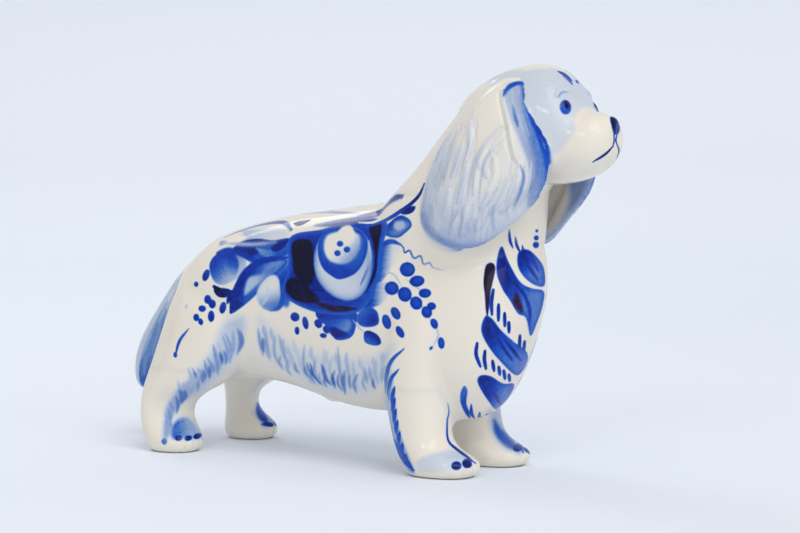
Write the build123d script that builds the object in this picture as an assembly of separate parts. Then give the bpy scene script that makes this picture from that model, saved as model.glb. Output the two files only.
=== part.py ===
"""Porcelain spaniel figurine: slip-cast pieces, luted together where they meet, all hollow but the ears and tail.

+X runs towards the nose, +Y to the dog's left, +Z up. The origin is on the table, under the middle of the figurine.
A piece that stands on end is given by level cuts, and one that lies along the body by upright cuts across it.
"""

from build123d import *
import os
from math import copysign, cos, pi, sin, sqrt

WALL = 3.0  # thickness of the cast wall
LIMB_WALL = 2.6  # legs drain sooner in the mould, so they cast thinner
FORELEG_HOLLOW_CUTS = 10  # how many cuts of a foreleg its hollow follows before it opens into the body's
SMALLEST_CAVITY = 1.6  # half-size under which the slip fills a cavity
NECK_SEAM_Z = 65.0  # level at which the head is luted to the neck
FORELEG_SEAM_Z = 20.0  # level at which each foreleg is luted to the shoulder
HINDLEG_SEAM_Z = 21.0  # level at which each hind leg is luted to the thigh
VENT_R = 2.2  # hole in the belly that lets the kiln gases out
VENT_X = -6.0
NOSE = (69.0, 80.4, 1.3, 2.4, 2.3)  # nose pad: x, z, then half length, half width and half height
BIG = 400.0  # side of a block larger than the figurine
RIM_POINTS = 16  # points round each cut

# Upright cuts across the body: x, lowest z, highest z, half width
BARREL = [
    (-54.5, 32.2, 42.2, 5.0),
    (-53.0, 25.2, 45.8, 9.2),
    (-49.0, 19.7, 49.4, 13.2),
    (-42.0, 17.7, 54.2, 16.0),
    (-32.0, 18.2, 57.4, 16.6),
    (-20.0, 17.4, 59.8, 16.3),
    (-8.0, 14.7, 61.2, 16.5),
    (4.0, 12.8, 62.6, 17.0),
    (16.0, 12.5, 63.6, 17.2),
    (28.0, 11.6, 63.8, 16.6),
    (38.0, 14.8, 62.6, 14.4),
    (44.0, 24.0, 60.2, 11.2),
    (48.0, 32.6, 57.2, 7.2),
    (49.8, 40.0, 52.7, 3.4),
]
# Level cuts of the neck: z, rear x, front x, middle y, half width, slant of the oval
NECK = [
    (47.2, 5.0, 47.0, 0.0, 15.5, 0.0),
    (55.2, 7.0, 49.6, 0.0, 15.2, 0.0),
    (61.2, 8.5, 50.4, 0.0, 14.2, 0.0),
    (65.2, 12.0, 51.0, 0.0, 13.0, 0.0),
    (69.2, 16.4, 52.0, 0.0, 12.2, 0.0),
    (73.2, 20.4, 53.2, 0.0, 11.7, 0.0),
    (78.4, 25.0, 54.4, 0.0, 11.1, 0.0),
    (85.2, 32.0, 55.0, 0.0, 9.0, 0.0),
]
# Upright cuts across the head, from the back of the skull to the tip of the muzzle
HEAD = [
    (30.0, 77.2, 83.2, 3.5),
    (32.0, 73.7, 86.8, 7.5),
    (37.0, 69.7, 90.8, 10.8),
    (43.0, 67.7, 93.4, 12.2),
    (50.0, 67.4, 94.6, 12.2),
    (55.4, 67.2, 93.5, 11.4),
    (58.9, 67.5, 90.7, 10.3),
    (60.9, 67.9, 87.3, 9.4),
    (62.7, 68.5, 84.3, 8.8),
    (65.1, 69.5, 83.4, 8.1),
    (67.5, 71.3, 82.7, 6.8),
    (69.1, 73.3, 81.4, 4.9),
    (69.7, 75.5, 79.2, 2.4),
]
# Level cuts of the right-hand legs, whose middles lie at -Y; the hocks turn out, so their ovals slant
FORELEG = [
    (0.0, 23.0, 37.8, -11.2, 6.0, 0.0),
    (1.4, 21.4, 40.0, -11.2, 6.9, 0.0),
    (3.2, 20.6, 40.2, -11.2, 7.2, 0.0),
    (5.2, 19.8, 36.6, -11.2, 7.1, 0.0),
    (7.2, 19.1, 33.4, -11.2, 6.9, 0.0),
    (10.2, 18.1, 32.1, -11.1, 6.8, 0.0),
    (15.2, 16.9, 31.6, -11.0, 6.9, 0.0),
    (20.2, 16.2, 31.4, -11.0, 7.1, 0.0),
    (26.2, 16.0, 32.2, -10.8, 7.5, 0.0),
    (33.2, 15.6, 34.0, -10.4, 7.8, 0.0),
    (41.2, 16.5, 34.0, -9.8, 7.0, 0.0),
    (47.2, 19.5, 31.0, -9.2, 4.5, 0.0),
]
HINDLEG = [
    (0.0, -53.4, -42.0, -15.0, 5.4, 0.00),
    (1.4, -55.0, -40.6, -15.2, 6.1, 0.00),
    (3.7, -55.6, -40.6, -15.2, 6.2, 0.05),
    (6.2, -56.0, -43.0, -15.0, 5.6, 0.25),
    (9.2, -56.4, -44.8, -14.8, 5.0, 0.40),
    (12.2, -56.4, -44.2, -14.5, 5.1, 0.40),
    (16.2, -56.4, -38.0, -13.6, 6.4, 0.20),
    (21.2, -56.0, -30.4, -12.2, 7.7, 0.06),
    (29.2, -54.2, -26.4, -10.8, 8.3, 0.00),
    (37.2, -51.5, -28.0, -10.0, 7.4, 0.00),
    (45.2, -47.5, -34.0, -9.0, 4.6, 0.00),
]
TAIL = [
    (12.8, -72.1, -69.6, 0.0, 1.4, 0.0),
    (14.4, -73.3, -67.8, 0.0, 3.2, 0.0),
    (19.2, -73.9, -65.0, 0.0, 4.6, 0.0),
    (26.2, -71.7, -61.4, 0.0, 5.0, 0.0),
    (34.2, -66.2, -56.8, 0.0, 4.7, 0.0),
    (41.2, -60.8, -52.6, 0.0, 4.0, 0.0),
    (47.2, -54.8, -48.4, 0.0, 3.0, 0.0),
    (49.6, -51.6, -47.0, 0.0, 2.0, 0.0),
]
# Level cuts of the right ear: z, rear x, front x, y of the two edges, y of the outward bulge, thickness
EAR = [
    (52.6, 33.8, 42.0, -14.4, -16.4, 2.40),
    (54.8, 29.2, 46.4, -13.2, -17.0, 3.80),
    (58.2, 25.6, 50.8, -11.4, -17.4, 4.40),
    (62.2, 24.4, 54.9, -10.2, -17.2, 4.60),
    (67.2, 25.6, 58.4, -9.9, -16.6, 4.60),
    (73.2, 28.4, 59.1, -10.3, -15.6, 4.60),
    (79.2, 32.4, 56.9, -10.4, -14.4, 4.60),
    (85.2, 37.4, 53.7, -10.0, -12.8, 4.40),
    (89.4, 42.6, 52.2, -8.6, -10.4, 3.60),
    (91.2, 46.0, 50.4, -7.6, -8.4, 2.20),
]


def rim_wire(rim):
    """Smooth closed wire through a rim's points, in four arcs that meet at its ends and its sides."""
    count = len(rim)
    quarter = count // 4
    arcs = []
    for start in range(0, count, quarter):
        points = [Vector(*rim[(start + k) % count]) for k in range(quarter + 1)]
        tangents = [Vector(*rim[(k + 1) % count]) - Vector(*rim[(k - 1) % count]) for k in (start, start + quarter)]
        arcs.append(Edge.make_spline(points, tangents=tangents))
    return Wire(arcs)


def loft_through(rims):
    """Closed solid through a row of rims, each a flat list of points on its own plane."""
    return Solid.make_loft([rim_wire(rim) for rim in rims])


def oval(angle, half_u, half_v, squareness):
    """Point at an angle round an oval: squareness 2 gives an ellipse, more gives fuller corners."""
    c = cos(angle)
    s = sin(angle)
    u = half_u * copysign(abs(c) ** (2 / squareness), c)
    v = half_v * copysign(abs(s) ** (2 / squareness), s)
    return u, v


def rim_angles():
    return [2 * pi * k / RIM_POINTS for k in range(RIM_POINTS)]


def upright_loft(cuts, squareness=2.2, inset=0.0):
    """Solid through upright cuts (x, low z, high z, half width); an inset draws every cut inwards."""
    rims = []
    for x, low, high, half_width in inside(cuts, inset, 3, 1, 2):
        half_height = (high - low) / 2
        middle = (high + low) / 2
        rim = [oval(a, half_width, half_height, squareness) for a in rim_angles()]
        rims.append([(x, y, middle + z) for y, z in rim])
    return loft_through(rims)


def level_loft(cuts, squareness=2.2, inset=0.0):
    """Solid through level cuts (z, rear x, front x, middle y, half width, and a slant that swings the rear out)."""
    rims = []
    for z, rear, front, middle_y, half_width, slant in inside(cuts, inset, 4, 1, 2):
        half_length = (front - rear) / 2
        middle = (front + rear) / 2
        rim = [oval(a, half_length, half_width, squareness) for a in rim_angles()]
        rims.append([(middle + x, middle_y + y + slant * x, z) for x, y in rim])
    return loft_through(rims)


def inside(cuts, inset, width, low, high):
    """The cuts drawn inwards by an inset, leaving out those within it of either end and those too small."""
    if inset == 0.0:
        return cuts
    first = min(cuts[0][0], cuts[-1][0]) + inset
    last = max(cuts[0][0], cuts[-1][0]) - inset
    kept = []
    for cut in cuts:
        drawn = list(cut)
        drawn[width] -= inset
        drawn[low] += inset
        drawn[high] -= inset
        roomy = min(drawn[width], (drawn[high] - drawn[low]) / 2) > SMALLEST_CAVITY
        if first <= cut[0] <= last and roomy:
            kept.append(drawn)
    return kept


def ear_loft():
    """Right ear: a leaf standing off the head, its outer face bulging and its rim rolled."""
    rims = []
    for z, rear, front, edge_y, bulge_y, thick in EAR:
        half_length = (front - rear) / 2
        middle = (front + rear) / 2
        rim = []
        for angle in rim_angles():
            x, y = oval(angle, half_length, thick / 2, 2.4)
            swell = (bulge_y - edge_y) * (1 - (x / half_length) ** 2)
            rim.append((middle + x, edge_y + swell + y, z))
        rims.append(rim)
    return loft_through(rims)


def nose_pad():
    """Rounded pad standing a little proud of the muzzle."""
    x, z, half_length, half_width, half_height = NOSE
    rims = []
    for step in (-0.96, -0.75, -0.4, 0.0, 0.4, 0.75, 0.96):
        reach = sqrt(1 - step**2)
        rim = [oval(a, half_width * reach, half_height * reach, 2.0) for a in rim_angles()]
        rims.append([(x + step * half_length, y, z + dz) for y, dz in rim])
    return loft_through(rims)


def below(shape, level):
    return shape & Pos(0, 0, level - BIG / 2) * Box(BIG, BIG, BIG)


def above(shape, level):
    return shape & Pos(0, 0, level + BIG / 2) * Box(BIG, BIG, BIG)


def mirrored(shape):
    """The same piece on the dog's other side."""
    return mirror(shape, about=Plane.XZ)


def same(shape):
    return shape


# Outer shapes
barrel = upright_loft(BARREL)
neck = level_loft(NECK)
foreleg = level_loft(FORELEG)
hindleg = level_loft(HINDLEG)
skull = upright_loft(HEAD) + nose_pad()
ear = ear_loft()

# Hollows left when the spare slip is poured out
barrel_hollow = upright_loft(BARREL, inset=WALL)
neck_hollow = level_loft(NECK, inset=WALL)
skull_hollow = upright_loft(HEAD, inset=WALL)
foreleg_hollow = level_loft(FORELEG[:FORELEG_HOLLOW_CUTS], inset=LIMB_WALL)
hindleg_hollow = level_loft(HINDLEG, inset=LIMB_WALL)
leg_hollows = [shape for hollow in (foreleg_hollow, hindleg_hollow) for shape in (hollow, mirrored(hollow))]
vent = Pos(VENT_X, 0, 15) * Cylinder(VENT_R, 20)

trunk = barrel + below(neck, NECK_SEAM_Z)
for limb in (above(foreleg, FORELEG_SEAM_Z), above(hindleg, HINDLEG_SEAM_Z)):
    trunk = trunk + limb + mirrored(limb)
head = above(skull + neck, NECK_SEAM_Z)

pieces = {
    "torso_shell": trunk - barrel_hollow - neck_hollow - leg_hollows - vent,
    "head_shell": head - skull_hollow - neck_hollow,
    "tail": level_loft(TAIL, 2.0) - trunk,
}
for side, placed in (("right", same), ("left", mirrored)):
    pieces["ear_" + side] = placed(ear) - head - trunk
    pieces["foreleg_" + side] = placed(below(foreleg, FORELEG_SEAM_Z)) - barrel - placed(foreleg_hollow)
    pieces["hindleg_" + side] = placed(below(hindleg, HINDLEG_SEAM_Z)) - barrel - placed(hindleg_hollow)

# Bring the middle of the figurine over the origin
sizes = [piece.bounding_box() for piece in pieces.values()]
middle_x = (min(b.min.X for b in sizes) + max(b.max.X for b in sizes)) / 2
os.makedirs("parts", exist_ok=True)
for name, piece in pieces.items():
    export_step(Pos(-middle_x, 0, 0) * piece, f"parts/{name}.step")
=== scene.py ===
"""Glazed porcelain spaniel, brush painted in cobalt blue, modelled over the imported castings.

Lengths are in millimetres in the frame of the CAD model, and become metres where a Blender object is made.
The stage, its lights and the camera are in metres.
"""
import math

import bpy
import numpy as np
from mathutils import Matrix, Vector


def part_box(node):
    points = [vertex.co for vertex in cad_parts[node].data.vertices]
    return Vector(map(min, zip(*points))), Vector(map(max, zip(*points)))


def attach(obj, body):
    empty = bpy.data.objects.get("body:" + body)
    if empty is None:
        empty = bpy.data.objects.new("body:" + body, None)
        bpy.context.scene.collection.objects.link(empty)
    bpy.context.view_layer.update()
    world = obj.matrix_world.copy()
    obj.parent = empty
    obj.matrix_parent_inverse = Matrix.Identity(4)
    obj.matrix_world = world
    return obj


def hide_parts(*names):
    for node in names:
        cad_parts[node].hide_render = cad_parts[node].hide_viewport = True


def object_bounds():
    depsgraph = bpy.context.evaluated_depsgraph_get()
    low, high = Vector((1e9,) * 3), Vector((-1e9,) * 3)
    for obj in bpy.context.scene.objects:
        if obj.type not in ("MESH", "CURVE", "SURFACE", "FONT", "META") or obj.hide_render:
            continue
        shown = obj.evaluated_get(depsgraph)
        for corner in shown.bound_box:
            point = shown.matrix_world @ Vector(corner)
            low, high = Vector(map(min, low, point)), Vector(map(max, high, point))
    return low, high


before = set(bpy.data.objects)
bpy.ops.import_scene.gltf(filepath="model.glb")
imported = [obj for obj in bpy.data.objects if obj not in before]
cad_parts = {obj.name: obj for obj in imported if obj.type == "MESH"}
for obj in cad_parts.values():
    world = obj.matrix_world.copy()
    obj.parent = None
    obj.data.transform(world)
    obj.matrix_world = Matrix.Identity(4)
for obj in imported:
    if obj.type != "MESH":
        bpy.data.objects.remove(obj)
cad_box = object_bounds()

import openvdb
from mathutils import Vector
from mathutils.bvhtree import BVHTree

MM = 0.001
VOXEL = 0.5
BAND = 10.0  # depth of the distance field each side of the skin, in voxels
NODES = sorted(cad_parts)
EDGE_BLUR, FILLET_BLUR, FILLET_LESS = 0.7, 2.2, 0.12  # blurs of the skin; the wide one is held back
SEAM_VOTES, BLEED_PASSES = 4, 5  # rounds of evening out the seams, and of spreading paint over them
VENT_X, VENT_RADIUS, VENT_EDGE, VENT_DEPTH = -4.14, 2.5, 0.5, 2.4
PLUG_WIDTH, PLUG_HEIGHT, PLUG_START = 6.4, 3.0, 2.2  # block that closes the castings' vent from inside
BARE_TO, BARE_FADE = 0.35, 0.2  # top of the unglazed foot, and the height over which it fades
QUARTER = 35.0  # azimuth of the front quarter view, in degrees


# ---------------------------------------------------------------- the skin of the castings, luted into one

def node_triangles():
    """Points and triangles of all the castings, and which casting each triangle belongs to."""
    points, triangles, owner, start = [], [], [], 0
    for number, name in enumerate(NODES):
        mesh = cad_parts[name].data
        mesh.calc_loop_triangles()
        place = np.empty(len(mesh.vertices) * 3, np.float32)
        mesh.vertices.foreach_get("co", place)
        corner = np.empty(len(mesh.loop_triangles) * 3, np.int32)
        mesh.loop_triangles.foreach_get("vertices", corner)
        points.append(place.reshape(-1, 3) / MM)
        triangles.append(corner.reshape(-1, 3) + start)
        owner.append(np.full(len(mesh.loop_triangles), number))
        start += len(mesh.vertices)
    return np.concatenate(points), np.concatenate(triangles), np.concatenate(owner)


def box_skin(low, high):
    """Corners and sides of a box."""
    corners = np.array([[i, j, k] for i in (0, 1) for j in (0, 1) for k in (0, 1)], np.float32)
    sides = [[0, 1, 3, 2], [4, 6, 7, 5], [0, 4, 5, 1], [2, 3, 7, 6], [0, 2, 6, 4], [1, 5, 7, 3]]
    return low + (high - low) * corners, np.array(sides)


def level_set(points, triangles=None, quads=None, band=3.0):
    grid = openvdb.createLinearTransform(voxelSize=VOXEL)
    kinds = [None if f is None else np.ascontiguousarray(f, np.uint32) for f in (triangles, quads)]
    return openvdb.FloatGrid.createLevelSetFromPolygons(np.ascontiguousarray(points, np.float32),
        triangles=kinds[0], quads=kinds[1], transform=grid, halfWidth=band)


def blurred(field, sigma):
    """Gaussian blur of a 3-D field, sigma in millimetres."""
    reach = int(math.ceil(2.5 * sigma / VOXEL))
    offsets = np.arange(-reach, reach + 1)
    weights = np.exp(-0.5 * (offsets * VOXEL / sigma) ** 2)
    weights /= weights.sum()
    for axis in range(3):
        size = field.shape[axis]
        padded = np.pad(field, [(reach, reach) if a == axis else (0, 0) for a in range(3)], mode="edge")
        total = np.zeros_like(field)
        for shift, weight in enumerate(weights):
            part = [slice(None)] * 3
            part[axis] = slice(shift, shift + size)
            total += weight * padded[tuple(part)]
        field = total
    return field


def skin():
    """Closed outer skin: the castings joined, the hollow left out, and fillets of slip along the seams."""
    points, triangles, owner = node_triangles()
    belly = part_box("torso_shell")[0].z / MM
    vent_low = np.array([VENT_X - PLUG_WIDTH / 2, -PLUG_WIDTH / 2, belly + PLUG_START])
    plug, plug_sides = box_skin(vent_low, vent_low + [PLUG_WIDTH, PLUG_WIDTH, PLUG_HEIGHT])
    joined = level_set(np.concatenate([points, plug]), triangles, plug_sides + len(points))
    outer, quads = joined.convertToQuads(0.0)
    deep = level_set(outer, None, quads, BAND)
    low, high = deep.evalActiveVoxelBoundingBox()
    low = np.array(low) - 2
    size = np.array(high) + 3 - low
    field = np.empty(size, np.float32)
    deep.copyToArray(field, ijk=tuple(int(v) for v in low))
    soft = blurred(field, EDGE_BLUR)
    soft = np.minimum(soft, blurred(field, FILLET_BLUR) + FILLET_LESS)
    height = (low[2] + np.arange(size[2])) * VOXEL
    soft = np.maximum(soft, -height[None, None, :].astype(np.float32))
    result = openvdb.FloatGrid(float(soft.max()))
    result.transform = openvdb.createLinearTransform(voxelSize=VOXEL)
    result.copyFromArray(np.ascontiguousarray(soft, np.float32), ijk=tuple(int(v) for v in low))
    place, quads = result.convertToQuads(0.0)
    return place.astype(float), quads.astype(int), (points, triangles, owner)


def subdivided(place, quads):
    """One Catmull-Clark step of a closed quad mesh."""
    count = len(place)
    centre = place[quads].mean(1)
    ends = np.stack([quads, np.roll(quads, -1, 1)], 2).reshape(-1, 2)
    pair = np.sort(ends, 1)
    edges, edge_of = np.unique(pair[:, 0] * count + pair[:, 1], return_inverse=True)
    first, second = edges // count, edges % count
    face_of = np.repeat(np.arange(len(quads)), 4)
    beside = np.zeros((len(edges), 3))
    np.add.at(beside, edge_of, centre[face_of])
    middle = (place[first] + place[second]) / 2
    edge_point = (place[first] + place[second] + beside) / 4
    valence = np.bincount(quads.ravel(), minlength=count)[:, None].astype(float)
    around = np.zeros((count, 3))
    np.add.at(around, quads.ravel(), np.repeat(centre, 4, 0))
    spokes = np.zeros((count, 3))
    np.add.at(spokes, first, middle)
    np.add.at(spokes, second, middle)
    moved = (around / valence + 2 * spokes / valence + (valence - 3) * place) / valence
    edge_id = (count + len(quads) + edge_of).reshape(-1, 4)
    face_id = count + np.arange(len(quads))
    finer = np.stack([np.stack([quads[:, k], edge_id[:, k], face_id, edge_id[:, k - 1]],
        1) for k in range(4)], 1).reshape(-1, 4)
    return np.concatenate([moved, centre, edge_point]), finer


def normals_of(place, quads):
    """Unit normals of the points, from the faces round each."""
    corner = place[quads]
    facing = np.cross(corner[:, 2] - corner[:, 0], corner[:, 3] - corner[:, 1])
    total = np.zeros_like(place)
    for k in range(4):
        for axis in range(3):
            total[:, axis] += np.bincount(quads[:, k], facing[:, axis], len(place))
    return total / np.maximum(np.linalg.norm(total, axis=1, keepdims=True), 1e-12)


def casting_of(place, quads, cad):
    """Which casting each face belongs to: the nearest one, with ragged seams evened out."""
    points, triangles, owner = cad
    tree = BVHTree.FromPolygons(points.tolist(), triangles.tolist())
    centre = place[quads].mean(1)
    label = np.array([owner[tree.find_nearest(c)[2]] for c in centre.tolist()])
    for _ in range(SEAM_VOTES):
        votes = np.zeros((len(place), len(NODES)), np.float32)
        for k in range(4):
            np.add.at(votes, (quads[:, k], label), 1.0)
        label = votes[quads].sum(1).argmax(1)
    return label


def closing_fans(quads, place):
    """Triangles that close the open rims of a piece, fanned round each rim's centre, and the new points."""
    ends = np.stack([quads, np.roll(quads, -1, 1)], 2).reshape(-1, 2)
    known = set(map(tuple, ends.tolist()))
    onward = {}
    for a, b in known:
        if (b, a) not in known:
            onward.setdefault(b, []).append(a)
    fans, centres = [], []
    while onward:
        start = next(iter(onward))
        rim, here = [], start
        while True:
            rim.append(here)
            targets = onward[here]
            here_next = targets.pop()
            if not targets:
                del onward[here]
            here = here_next
            if here == start or here not in onward:
                break
        hub = len(place) + len(centres)
        centres.append(place[rim].mean(0))
        fans += [(rim[i], rim[(i + 1) % len(rim)], hub) for i in range(len(rim))]
    return fans, centres


def mesh_object(name, place, normals, quads, fields):
    """Blender mesh in metres of some faces of the skin, closed along its seams, with named point fields."""
    used, local = np.unique(quads, return_inverse=True)
    local = local.reshape(-1, 4)
    points = place[used]
    fans, centres = closing_fans(local, points)
    facing = normals[used]
    extra = len(centres)
    if extra:
        points = np.concatenate([points, np.array(centres)])
        facing = np.concatenate([facing, np.tile([0.0, 0.0, 1.0], (extra, 1))])
    corners = np.concatenate([local.ravel(), np.array(fans, int).ravel()]).astype(np.int32)
    starts = np.concatenate([np.arange(len(local)) * 4, len(local) * 4 + np.arange(len(fans)) * 3])
    mesh = bpy.data.meshes.new(name)
    mesh.vertices.add(len(points))
    mesh.vertices.foreach_set("co", (points * MM).astype(np.float32).ravel())
    mesh.loops.add(len(corners))
    mesh.loops.foreach_set("vertex_index", corners)
    mesh.polygons.add(len(starts))
    mesh.polygons.foreach_set("loop_start", starts.astype(np.int32))
    mesh.update(calc_edges=True)
    mesh.validate()
    mesh.shade_smooth()
    mesh.normals_split_custom_set_from_vertices(facing.tolist())
    for field, values in fields.items():
        layer = mesh.attributes.new(field, "FLOAT", "POINT")
        layer.data.foreach_set("value", np.concatenate([values[used], np.zeros(extra)]).astype(np.float32))
    piece = bpy.data.objects.new(name, mesh)
    bpy.context.scene.collection.objects.link(piece)
    return piece


# ---------------------------------------------------------------- drawing on the skin

DRAWN_FROM = math.radians(QUARTER)  # the decoration is drawn as it looks from there
PALE, LIGHT, MID, BLUE, COBALT, DEEP, NAVY = 0.14, 0.24, 0.38, 0.55, 0.72, 0.86, 1.0


def curve(points, steps=8, closed=False):
    """Smooth line through a few points (Catmull-Rom)."""
    points = np.array(points, float)
    if closed:
        points = np.concatenate([points[-1:], points, points[:2]])
    else:
        points = np.concatenate([2 * points[:1] - points[1:2], points, 2 * points[-1:] - points[-2:-1]])
    t = np.linspace(0.0, 1.0, steps, endpoint=False)[:, None]
    spans = []
    for a, b, c, d in zip(points, points[1:], points[2:], points[3:]):
        spans.append(b + 0.5 * t * (c - a + t * (2 * a - 5 * b + 4 * c - d + t * (3 * (b - c) + d - a))))
    line = np.concatenate(spans)
    return line if closed else np.concatenate([line, points[-2:-1]])


def to_line(spots, line):
    """Distance from each spot to a line, how far along it (0 to 1), and the side on which the spot lies."""
    steps = np.diff(line, axis=0)
    lengths = np.maximum(np.linalg.norm(steps, axis=1), 1e-9)
    before = np.concatenate([[0.0], np.cumsum(lengths)])
    best = np.full(len(spots), 1e9)
    along, side = np.zeros(len(spots)), np.zeros(len(spots))
    for k, (step, length) in enumerate(zip(steps, lengths)):
        offset = spots - line[k]
        t = np.clip(offset @ step / length ** 2, 0.0, 1.0)
        gap = np.linalg.norm(offset - t[:, None] * step, axis=1)
        closer = gap < best
        best[closer] = gap[closer]
        along[closer] = (before[k] + t[closer] * length) / before[-1]
        turn = step[0] * offset[:, 1] - step[1] * offset[:, 0]
        side[closer] = np.sign(turn[closer])
    return best, along, side


def inside_of(spots, ring):
    """True for the spots inside a closed line."""
    crossed = np.zeros(len(spots), bool)
    for (x1, y1), (x2, y2) in zip(ring, np.roll(ring, -1, 0)):
        if y1 == y2:
            continue
        spans = (spots[:, 1] > y1) != (spots[:, 1] > y2)
        crossed ^= spans & (spots[:, 0] < (x2 - x1) * (spots[:, 1] - y1) / (y2 - y1) + x1)
    return crossed


def smooth(t):
    """Eased step: 0 up to t = 0, and 1 from t = 1."""
    t = np.clip(t, 0.0, 1.0)
    return t * t * (3.0 - 2.0 * t)


def ripple(t):
    """Uneven wave between -1 and 1, for the marks of a brush's hairs."""
    return (np.sin(7.1 * t + 1.3) + np.sin(13.7 * t + 0.4) + np.sin(23.3 * t + 2.1)) / 3.0


class Canvas:
    """The skin with its pigment. It is drawn on flat, and most views paint both flanks."""

    def __init__(self, place, normals, quads, casting):
        self.place, self.normals, self.casting = place.copy(), normals.copy(), casting
        self.pigment = np.zeros(len(place))
        self.violet = np.zeros(len(place))
        self.lift = np.zeros(len(place))
        self.side = np.where(place[:, 1] < 0, -1.0, 1.0)
        self.quads = quads
        self.owned = {}

    def owned_by(self, castings):
        """1 on these castings, falling to 0 over about a millimetre of their neighbours."""
        if castings not in self.owned:
            wanted = [number for number, name in enumerate(NODES) if name.startswith(castings)]
            share = np.isin(self.casting, wanted).astype(float)
            valence = np.bincount(self.quads.ravel(), minlength=len(share))
            for _ in range(BLEED_PASSES):
                faces = np.repeat(share[self.quads].mean(1), 4)
                share = np.bincount(self.quads.ravel(), faces, len(share)) / valence
            self.owned[castings] = smooth((share - 0.2) * 2.5)
        return self.owned[castings]

    def seen_from(self, view, *castings, fade=0.15):
        """Chooses the view that is drawn on, and the castings that take the paint (all, if none is named)."""
        x, y, z = self.place.T
        out = self.normals[:, 1] * self.side
        across = np.array([math.cos(DRAWN_FROM), math.sin(DRAWN_FROM)])
        if view == "quarter":
            self.flat = np.stack([x * across[0] - np.abs(y) * across[1], z], 1)
            facing = self.normals[:, 0] * across[1] + out * across[0]
        elif view in ("right", "left"):
            hand = 1.0 if view == "right" else -1.0
            self.flat = np.stack([x * across[0] + hand * y * across[1], z], 1)
            facing = self.normals[:, 0] * across[1] - hand * self.normals[:, 1] * across[0]
        elif view == "inner":
            self.flat = np.stack([x * across[0] + np.abs(y) * across[1], z], 1)
            facing = self.normals[:, 0] * across[1] - out * across[0]
        elif view == "side":
            self.flat, facing = np.stack([x, z], 1), out
        elif view == "above":
            self.flat, facing = np.stack([x, np.abs(y)], 1), self.normals[:, 2]
        elif view == "behind":
            self.flat, facing = np.stack([np.abs(y), z], 1), -self.normals[:, 0]
        else:
            self.flat, facing = np.stack([np.abs(y), z], 1), self.normals[:, 0]
        self.shown = smooth(facing / fade)
        if castings:
            self.shown = self.shown * self.owned_by(castings)

    def near(self, line, reach):
        """Numbers of the points in sight that lie in the box round a line, widened by the reach."""
        low, high = line.min(0) - reach, line.max(0) + reach
        return np.flatnonzero(((self.flat > low) & (self.flat < high)).all(1) & (self.shown > 0.0))

    def lay(self, spots, cover, tone, violet=0.0, wash=False):
        """Puts pigment on some points: over what is there, or mixed into it as a wash."""
        cover = cover * self.shown[spots]
        old = self.pigment[spots]
        if wash:
            self.pigment[spots] = old + cover * tone * (1.0 - old)
        else:
            self.pigment[spots] = old + cover * (tone - old)
        self.violet[spots] += cover * (violet - self.violet[spots])

    def stroke(self, points, width, tone, end=None, soft=0.3, violet=0.0, round_ends=0.5):
        """One pull of the brush: widest in the middle, from one tone at its start to another at its end."""
        line = curve(points)
        spots = self.near(line, width)
        gap, along, side = to_line(self.flat[spots], line)
        half = width / 2 * np.sin(np.pi * np.clip(along, 0.04, 0.96)) ** (1.0 - round_ends)
        shade = tone + ((tone if end is None else end) - tone) * along
        shade = shade * (1.0 + 0.10 * ripple(gap * side * 2.0 + 0.5 * along))
        self.lay(spots, smooth((half - gap) / soft + 0.5), shade, violet)

    def strokes(self, rows):
        """Strokes in turn: rows of points, width, tone, end, soft, violet and round_ends."""
        for row in rows:
            self.stroke(*row)

    def fill(self, points, dark, light=None, start=None, finish=None, soft=0.35, rim=None, depth=1.0,
            violet=0.0, wash=False, lines=0.07):
        """A filled shape, from dark at the point start to light at the point finish, with a darker rim."""
        ring = curve(points, closed=True)
        spots = self.near(ring, soft * 2)
        flat = self.flat[spots]
        gap = to_line(flat, np.concatenate([ring, ring[:1]]))[0]
        within = inside_of(flat, ring)
        depth_in = np.where(within, gap, -gap)
        shade = np.full(len(spots), float(dark))
        if start is not None:
            start, way = np.array(start), np.array(finish) - np.array(start)
            length = np.linalg.norm(way)
            t = (flat - start) @ way / length ** 2
            off = (flat - start) @ np.array([-way[1], way[0]]) / length
            t = t + 0.05 * ripple(off * 0.9)
            shade = dark + (light - dark) * smooth(t)
            shade = shade * (1.0 + lines * ripple(off * 2.3 + 1.0))
        if rim is not None:
            shade = shade + (rim - shade) * np.exp(-np.maximum(depth_in, 0.0) / depth)
        self.lay(spots, smooth(depth_in / soft + 0.5), shade, violet, wash)

    def dab(self, centre, width, height, tone=COBALT, lean=0.0, rim=None):
        """A round or oval touch of the brush, leaning by some degrees."""
        turn = math.radians(lean)
        ring = [(centre[0] + width / 2 * math.cos(a) * math.cos(turn)
                 - height / 2 * math.sin(a) * math.sin(turn),
                 centre[1] + width / 2 * math.cos(a) * math.sin(turn)
                 + height / 2 * math.sin(a) * math.cos(turn))
                for a in np.linspace(0.0, 2 * math.pi, 8, endpoint=False)]
        self.fill(ring, tone, tone * 0.8, (centre[0] - width / 2, centre[1] - height / 2),
            (centre[0] + width / 2, centre[1] + height / 2), rim=rim, depth=0.35, lines=0.03)

    def dabs(self, rows, tone, rim=None):
        """Dabs of one tone, each a row of centre, width, height and lean."""
        for centre, width, height, lean in rows:
            self.dab(centre, width, height, tone, lean, rim)

    def ridges(self, rows):
        """Ridges in turn: rows of points, width, height and round_ends."""
        for row in rows:
            self.ridge(*row)

    def ridge(self, points, width, height, round_ends=0.5):
        """Raises the surface along a line, or lowers it where height is negative."""
        line = curve(points)
        spots = self.near(line, width)
        gap, along, _ = to_line(self.flat[spots], line)
        half = width / 2 * np.sin(np.pi * np.clip(along, 0.02, 0.98)) ** (1.0 - round_ends)
        rise = np.clip(1.0 - (gap / np.maximum(half, 0.05)) ** 2, 0.0, 1.0) ** 2
        self.lift[spots] += height * rise * self.shown[spots]


# ---------------------------------------------------------------- the decoration, lengths in millimetres

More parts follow.
